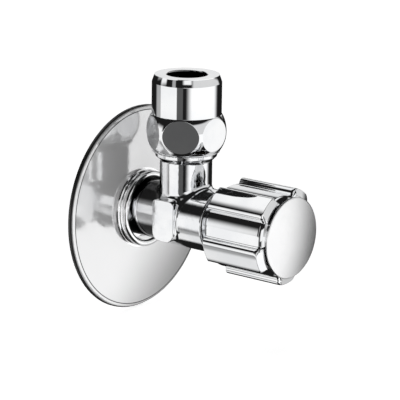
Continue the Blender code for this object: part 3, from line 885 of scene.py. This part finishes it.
def make_knob():
    """Fluted knob: five lobes, flutes that end in a chamfer, a boss and a thin skirt."""
    radius, back, front = run_size("knob")
    flute, chamfer_end, land, ring, lobe_chamfer = 11.0, 9.75, 9.6, 10.9, 0.75
    cavity, boss, boss_start, bush_bore = 9.4, 6.9, 38.9, 5.3
    web_back, web_front, screw_hole, well = 45.9, 47.8, 1.9, 5.2
    recess, seat = 9.4, 49.3
    corner, straight, floor_blend, foot_blend = 0.8, 3.7, 0.7, 0.16
    profile = [
        (recess, front, 0.12),
        (land, front, 0),
        (ring, front, 0.15),
        (radius, front - lobe_chamfer, 0.12),
        (radius, front - straight, 0),
        (radius, back, 0.35),
        (cavity, back, 0.3),
        (cavity, web_back, 0.5),
        (boss, web_back, 0.5),
        (boss, boss_start, 0.2),
        (bush_bore, boss_start, 0.2),
        (bush_bore, web_back, 0.1),
        (screw_hole, web_back, 0.1),
        (screw_hole, web_front, 0.15),
        (well, web_front, 0.2),
        (well, seat, 0.15),
        (recess, seat, 0.15),
    ]
    points = round_corners(profile, True)
    points = refine(points, front - straight - 0.1, front + 0.1, 0.07)
    points = refine(points, back, front - straight, 1.2)

    def outline(height, angle):
        away = off_flat(angle, FLUTES, math.pi - FLUTE_PHASE)
        into = np.clip(height - (front - lobe_chamfer - corner), 0, corner)
        widen = (corner - np.sqrt(np.maximum(corner**2 - into**2, 0))) / radius
        reach = (away - FLUTE_HALF - widen) * radius
        wall = flute + (radius - LOBE_FILLET - flute) * reach / FLUTE_WALL
        past = LOBE_FILLET - np.clip(reach - FLUTE_WALL, 0, LOBE_FILLET)
        bend = radius - LOBE_FILLET + np.sqrt(LOBE_FILLET**2 - past**2)
        floor = smooth_min(np.full_like(reach, flute), chamfer_end + front - height, floor_blend)
        return smooth_max(np.where(reach < FLUTE_WALL, wall, bend), floor, foot_blend)

    def shape(rho, height, angle):
        reach = outline(height, angle)
        across = land + np.clip((rho - land) / (ring - land), 0, 1) * (np.minimum(ring, reach) - land)
        cut = np.where(height > front - 0.02, across, np.minimum(rho, reach))
        return np.where(rho > land, cut, rho), height

    piece = skin("knob_shell", points, angles=knob_angles(), shape=shape)
    return finish_as(piece, "knob", knob_chrome)


def make_knob_fittings():
    """Front cap, splined bush, lock washer and screw."""
    radius, back, front = run_size("knob_cap")
    seat, edge, crown = 51.6, 52.3, 0.7
    step, step_back, peg_outer, peg_inner = 9.1, 50.4, 4.8, 3.9
    crown_radius = (radius**2 + crown**2) / (2 * crown)
    dome = [(0, front, 0)]
    for k in range(1, 25):
        r = (radius - 0.35) * k / 24
        dome.append((r, front - crown_radius + math.sqrt(crown_radius**2 - r * r), 0))
    profile = dome + [
        (radius - 0.12, edge + 0.16, 0.1),
        (radius, edge, 0.08),
        (radius - 0.65, seat, 0.1),
        (step, seat, 0.1),
        (step, step_back, 0.15),
        (peg_outer, step_back, 0.2),
        (peg_outer, back, 0.2),
        (peg_inner, back, 0.15),
        (peg_inner, step_back, 0.2),
        (0, step_back, 0),
    ]
    piece = skin("knob_front_cap", round_corners(profile, False), angles=256)
    finish_as(piece, "knob_cap", cap_chrome)

    radius, back, front = run_size("knob_bush")
    bore = 2.9
    profile = [
        (bore, back, 0.15),
        (radius - 0.3, back, 0.1),
        (radius, back + 0.3, 0.1),
        (radius, front - 0.3, 0.1),
        (radius - 0.3, front, 0.1),
        (bore, front, 0.15),
    ]

    def splined(rho, height, angle):
        knurl = 0.09 * (1 - np.cos(36 * angle)) * (rho > radius - 0.1)
        tooth = 0.09 * (1 - np.cos(20 * angle)) * (rho < bore + 0.05)
        return rho - knurl - tooth, height

    bush = skin("splined_bush", round_corners(profile, True), angles=480, shape=splined)
    finish_as(bush, "knob_bush", brass_metal)

    radius, back, front = run_size("knob_spring_washer")
    inner, thick = 1.6, 0.28
    lip = back + thick
    profile = [(inner, back, 0.04), (radius, back, 0.05), (radius, lip, 0.05), (inner, lip, 0.04)]

    def coiled(rho, height, angle):
        return rho, height + (front - back - thick) * angle / TURN

    washer = skin("lock_washer", round_corners(profile, True), angles=120, shape=coiled, gap=math.radians(8))
    finish_as(washer, "knob_spring_washer", steel_metal)

    radius, back, front = run_size("knob_screw")
    head_back, shank = 48.8, 1.3
    profile = [
        (0, front, 0),
        (2.0, front, 0.4),
        (radius, front - 0.6, 0.2),
        (radius, head_back, 0.1),
        (shank, head_back, 0.1),
        (shank, back + 0.3, 0.1),
        (shank - 0.3, back, 0.1),
        (0, back, 0),
    ]
    threads = (back + 0.2, 48.0)
    slotted_screw("knob_fixing_screw", "knob_screw", profile, front, 0.6, shank, threads, cross=True)


# ---------------------------------------------------------------- cast body


def body_field(x, h, z):
    """Below 0 inside the cast body, above 0 outside, and close to a distance in millimetres near its skin."""
    rho = np.hypot(x, z)
    outlet = np.hypot(x, h - OUTLET_AXIS)
    inlet_end, shoulder, neck_end = BODY_BACK, 28.9, 30.5
    pad_back, pad_front, pad_height = 13.3, 20.3, 5.6

    wave = helix(np.arctan2(z, x), h, THREAD_PITCH)
    share = smooth_step(h, -2.9, -3.7) * smooth_step(h, inlet_end + 0.3, inlet_end + 1.3)
    root = np.where(h > -2.9, SPIGOT_RADIUS, THREAD_ROOT)
    turned = root + (THREAD_CREST - THREAD_ROOT) * wave * share
    turned = turned + (NECK_RADIUS - SPIGOT_RADIUS) * smooth_step(h, pad_back + 0.1, pad_back + 1.1)
    solid = smooth_max(0.75 * (rho - turned), np.maximum(inlet_end - h, h - shoulder), 0.5)
    lead = 0.7 * (rho - THREAD_ROOT + 0.3 - (h - inlet_end))
    solid = np.maximum(solid, np.where(h < inlet_end + 1.5, lead, -9.0))
    nozzle = smooth_max(rho - NOZZLE_RADIUS, np.maximum(shoulder - 4 - h, h - neck_end), 0.35)
    solid = smooth_min(solid, nozzle, 0.25)

    corner = np.where(z > 0, 1.3, 2.4)
    along = np.abs(h - (pad_back + pad_front) / 2) - (pad_front - pad_back) / 2 + corner
    upward = np.abs(z) - pad_height + corner
    edge = np.hypot(np.maximum(along, 0), np.maximum(upward, 0)) + np.minimum(np.maximum(along, upward), 0)
    draft = PAD_DRAFT * np.clip(h - pad_back, 0, pad_front - pad_back)
    pads = smooth_max(edge - corner, np.abs(x) + draft - ACROSS_FLATS / 2, 0.16)
    solid = smooth_min(solid, pads, 0.8)

    flare, ring_end, thread_end = 15.3, 17.5, 27.0
    wave = helix(np.arctan2(OUTLET_AXIS - h, x), z, THREAD_PITCH)
    fade_out = 1 - smooth_step(z, thread_end - 1.2, thread_end - 0.3)
    share = smooth_step(z, ring_end, ring_end + 0.9) * fade_out
    turned = np.where(z > ring_end, THREAD_ROOT, 8.28) + (THREAD_CREST - THREAD_ROOT) * wave * share
    widening = 7.0 + 1.28 * np.clip((z - flare) / 1.3, 0, 1)
    turned = np.where(z < ring_end - 0.1, widening, turned)
    pipe = smooth_max(0.78 * (outlet - turned), np.maximum(z - thread_end, -z), 0.3)
    solid = smooth_min(solid, pipe, 1.1)

    inlet_bore = np.where(h > 9.5, 5.0 - 1.8 * np.clip(h - 9.5, 0, 1), 5.0)
    bore = np.where(h > SEAT_FACE, CHAMBER_RADIUS, inlet_bore)
    bore = np.where((h > SEAT_FACE) & (h < SEAT_FACE + 0.25) & (rho > 3.3), 3.2, bore)
    run = 0.8 * (rho - np.where(h > neck_end - 0.4, CHAMBER_RADIUS + h - neck_end + 0.4, bore))
    solid = smooth_max(solid, -run, 0.12)

    pocket = np.where(z > 22.7, 5.3 + 1.3 * np.clip((z - 22.7) / 0.6, 0, 1), 5.3)
    way = np.where(z > 16.0, pocket, 4.0)
    drain = smooth_max(0.8 * (outlet - way), -z, 0.1)
    return smooth_max(solid, -drain, 0.12)


BODY_BACK = -15.0


def make_valve_body(step=0.2):
    """Mesh the body's field: one point in each grid cell that the skin crosses, pulled onto the skin."""
    low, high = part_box("valve_body")
    start = np.array([low.x, -high.y, low.z]) / MM - 2 * step
    stop = np.array([high.x, -low.y, high.z]) / MM + 2 * step
    size = np.ceil((stop - start) / step).astype(int) + 1
    lines = [start[k] + step * np.arange(size[k]) for k in range(3)]
    field = np.empty(size, np.float32)
    for i, x in enumerate(lines[0]):
        field[i] = body_field(x, lines[1][:, None], lines[2][None, :])
    inside = field < 0

    cells = np.zeros(size - 1, np.int8)
    corners = [(i, j, k) for i in (0, 1) for j in (0, 1) for k in (0, 1)]

    def window(grid, offset):
        i, j, k = offset
        return grid[i : size[0] - 1 + i, j : size[1] - 1 + j, k : size[2] - 1 + k]

    for offset in corners:
        cells += window(inside, offset)
    active = (cells > 0) & (cells < 8)
    where = np.argwhere(active)
    index = np.full(size - 1, -1, np.int32)
    index[active] = np.arange(len(where))

    total = np.zeros((len(where), 3))
    hits = np.zeros(len(where))
    for a in corners:
        for axis in range(3):
            if a[axis]:
                continue
            b = tuple(1 if k == axis else a[k] for k in range(3))
            at_a = field[tuple((where + a).T)].astype(float)
            at_b = field[tuple((where + b).T)].astype(float)
            crosses = (at_a < 0) != (at_b < 0)
            share = np.where(crosses, at_a / np.where(crosses, at_a - at_b, 1), 0)
            point = np.array(a, float) + 0.0
            spot = np.repeat(point[None], len(where), axis=0)
            spot[:, axis] += share
            total += spot * crosses[:, None]
            hits += crosses
    points = start + (where + total / hits[:, None]) * step

    quads = []
    for axis in range(3):
        u, v = (axis + 1) % 3, (axis + 2) % 3
        first = [slice(1, size[k] - 1) for k in range(3)]
        second = list(first)
        first[axis] = slice(0, size[axis] - 1)
        second[axis] = slice(1, size[axis])
        change = inside[tuple(first)] != inside[tuple(second)]
        spots = np.argwhere(change) + 1
        spots[:, axis] -= 1
        rising = inside[tuple(spots.T)]
        shift_u = np.eye(3, dtype=int)[u]
        shift_v = np.eye(3, dtype=int)[v]
        ring = [index[tuple((spots - d).T)] for d in (shift_u + shift_v, shift_v, 0 * shift_u, shift_u)]
        quad = np.stack(ring, -1)
        quads.append(np.where(rising[:, None], quad, quad[:, ::-1]))
    quads = np.concatenate(quads)

    for _ in range(4):
        points = settle(relax(points, quads))
    points = settle(points)
    normals = unit(slope_of(points, 0.05))
    coords = np.stack([points[:, 0], -points[:, 1], points[:, 2]], -1) * MM
    normals = np.stack([normals[:, 0], -normals[:, 1], normals[:, 2]], -1)
    piece = mesh_piece("cast_valve_body", coords, quads.tolist(), normals)
    return finish_as(piece, "valve_body", cast_chrome)


def slope_of(points, reach=0.01):
    """Gradient of the body's field at each point."""
    slopes = np.empty_like(points)
    for k in range(3):
        offset = np.zeros(3)
        offset[k] = reach
        ahead, behind = points + offset, points - offset
        slopes[:, k] = (body_field(*ahead.T) - body_field(*behind.T)) / (2 * reach)
    return slopes


def settle(points):
    """Move each point along the gradient onto the skin."""
    slopes = slope_of(points)
    size = np.maximum((slopes**2).sum(1), 0.2)
    move = -(body_field(*points.T) / size)[:, None] * slopes
    return points + np.clip(move, -0.1, 0.1)


def relax(points, quads):
    """Move each point half way towards the mean of its neighbours."""
    total = np.zeros_like(points)
    count = np.zeros(len(points))
    for a, b in ((0, 1), (1, 2), (2, 3), (3, 0)):
        for here, there in ((a, b), (b, a)):
            np.add.at(total, quads[:, here], points[quads[:, there]])
            np.add.at(count, quads[:, here], 1)
    return 0.5 * points + 0.5 * total / count[:, None]


# ---------------------------------------------------------------- studio

CAMERA_AZIMUTH, CAMERA_ELEVATION, CAMERA_ROLL = math.radians(-51.33), math.radians(14.38), math.radians(0.79)
CAMERA_DISTANCE, CAMERA_LENS = 0.6, 201.8
FRAMING = (3.91 * MM, 3.94 * MM)


def make_camera():
    """A long lens at the photograph's angle, aimed near where the inlet and outlet axes cross."""
    sin_a, cos_a = math.sin(CAMERA_AZIMUTH), math.cos(CAMERA_AZIMUTH)
    sin_e, cos_e = math.sin(CAMERA_ELEVATION), math.cos(CAMERA_ELEVATION)
    back = Vector((sin_a * cos_e, -cos_a * cos_e, sin_e))
    right = Vector((cos_a, sin_a, 0))
    up = back.cross(right)
    across = math.cos(CAMERA_ROLL) * right + math.sin(CAMERA_ROLL) * up
    upward = math.cos(CAMERA_ROLL) * up - math.sin(CAMERA_ROLL) * right
    camera = bpy.data.objects.new("camera", bpy.data.cameras.new("camera"))
    bpy.context.scene.collection.objects.link(camera)
    crossing = Vector((0, -OUTLET_AXIS * MM, 0))
    place = crossing + back * CAMERA_DISTANCE + across * FRAMING[0] + upward * FRAMING[1]
    turned = Matrix((across, upward, back)).transposed()
    camera.matrix_world = Matrix.Translation(place) @ turned.to_4x4()
    camera.data.lens = CAMERA_LENS
    camera.data.sensor_width = 36.0
    camera.data.clip_start, camera.data.clip_end = 0.01, 10.0
    bpy.context.scene.camera = camera


# Each soft light of the studio: middle and half width round the object, in degrees from the key light's side,
# then lowest and highest elevation, how soft its edges are across and along, and its brightness.
STUDIO_FRONT = -141.7
LIGHTS = {
    "left_wall": (-56, 24, -40, 3, 1.5, 2, 1.0),
    "left_strip": (-84, 11, -26, 14, 3, 8, 1.0),
    "left_card": (-44, 6, 0, 30, 2, 3, 0.4),
    "left_grey": (-99, 17, -40, 2, 6, 4, 0.45),
    "left_low": (-97, 24, -64, -38, 8, 5, 0.85),
    "front_grey": (-21.5, 10, -40, 6, 1.5, 3, 0.1),
    "front_card": (3, 14, -8, 19, 6, 2, 1.0),
    "right_wall": (59.5, 51.5, -45, 2, 12, 2, 1.12),
    "right_upper": (75, 55, 0, 34, 6, 3, 0.72),
    "right_low": (118, 28, -62, -27, 8, 4, 0.6),
    "back_strip": (180, 32, 5, 33, 8, 5, 0.85),
    "top_back": (-150, 56, 45, 100, 12, 4, 1.0),
}
SHADE = 0.012


def make_world():
    """White for the camera; for everything else, soft boxes round the object with dark gaps between."""
    world = bpy.data.worlds.new("studio")
    bpy.context.scene.world = world
    world.use_nodes = True
    world.node_tree.nodes.clear()
    nodes = Nodes(world.node_tree)
    direction = nodes.add("ShaderNodeTexCoord").outputs["Generated"]
    split = nodes.add("ShaderNodeSeparateXYZ", Vector=direction).outputs
    turned = nodes.math("ARCTAN2", split["Y"], split["X"])
    azimuth = nodes.math("SUBTRACT", nodes.math("DEGREES", turned), STUDIO_FRONT)
    elevation = nodes.math("DEGREES", nodes.math("ARCSINE", split["Z"]))
    total = SHADE
    for middle, half, low, high, soft, fade, power in LIGHTS.values():
        offset = nodes.math("SUBTRACT", azimuth, middle)
        offset = nodes.math("ABSOLUTE", nodes.math("WRAP", offset, 180.0, -180.0))
        card = nodes.ramp(offset, half + soft, half - soft)
        bottom = nodes.ramp(elevation, low - fade, low + fade)
        top = nodes.ramp(elevation, high + fade, high - fade)
        rows = nodes.math("MULTIPLY", bottom, top)
        card = nodes.math("MULTIPLY", nodes.math("MULTIPLY", card, power), rows)
        total = nodes.math("MAXIMUM", total, card)
    studio = nodes.add("ShaderNodeBackground", Strength=total)
    white = nodes.add("ShaderNodeBackground", Strength=1.0)
    studio.inputs["Color"].default_value = white.inputs["Color"].default_value = (1, 1, 1, 1)
    seen = nodes.add("ShaderNodeLightPath").outputs["Is Camera Ray"]
    mixed = nodes.add("ShaderNodeMixShader")
    for socket, value in zip(mixed.inputs, (seen, studio.outputs[0], white.outputs[0])):
        nodes.feed(socket, value)
    output = nodes.add("ShaderNodeOutputWorld")
    nodes.feed(output.inputs["Surface"], mixed.outputs[0])


def make_floor():
    """A plain white table under the object, too even to show in the chrome."""
    lowest = cad_low.z - 0.4 * MM
    half, glow = 3.0, 0.8
    corners = ((-half, -half), (half, -half), (half, half), (-half, half))
    coords = np.array([(*corner, lowest) for corner in corners])
    mesh = bpy.data.meshes.new("floor")
    mesh.from_pydata(coords.tolist(), [], [(0, 1, 2, 3)])
    floor = bpy.data.objects.new("floor", mesh)
    bpy.context.scene.collection.objects.link(floor)
    material, nodes, shader = new_material("floor_white", 0.0)
    tone = nodes.ramp(nodes.noise(3.0), 0.3, 0.7)
    nodes.feed(shader.inputs["Base Color"], nodes.blend(tone, (0.93, 0.93, 0.93), (0.95, 0.95, 0.95)))
    shader.inputs["Roughness"].default_value = 0.9
    shader.inputs["Emission Color"].default_value = (1, 1, 1, 1)
    shader.inputs["Emission Strength"].default_value = glow
    mesh.materials.append(material)
    floor.visible_glossy = False


make_rosette()
make_valve_body()
make_union_nut()
make_compression_set()
make_headwork()
make_spindle()
make_piston()
make_rings()
make_knob()
make_knob_fittings()
make_camera()
make_world()
make_floor()

scene = bpy.context.scene
scene.view_settings.view_transform = "Standard"
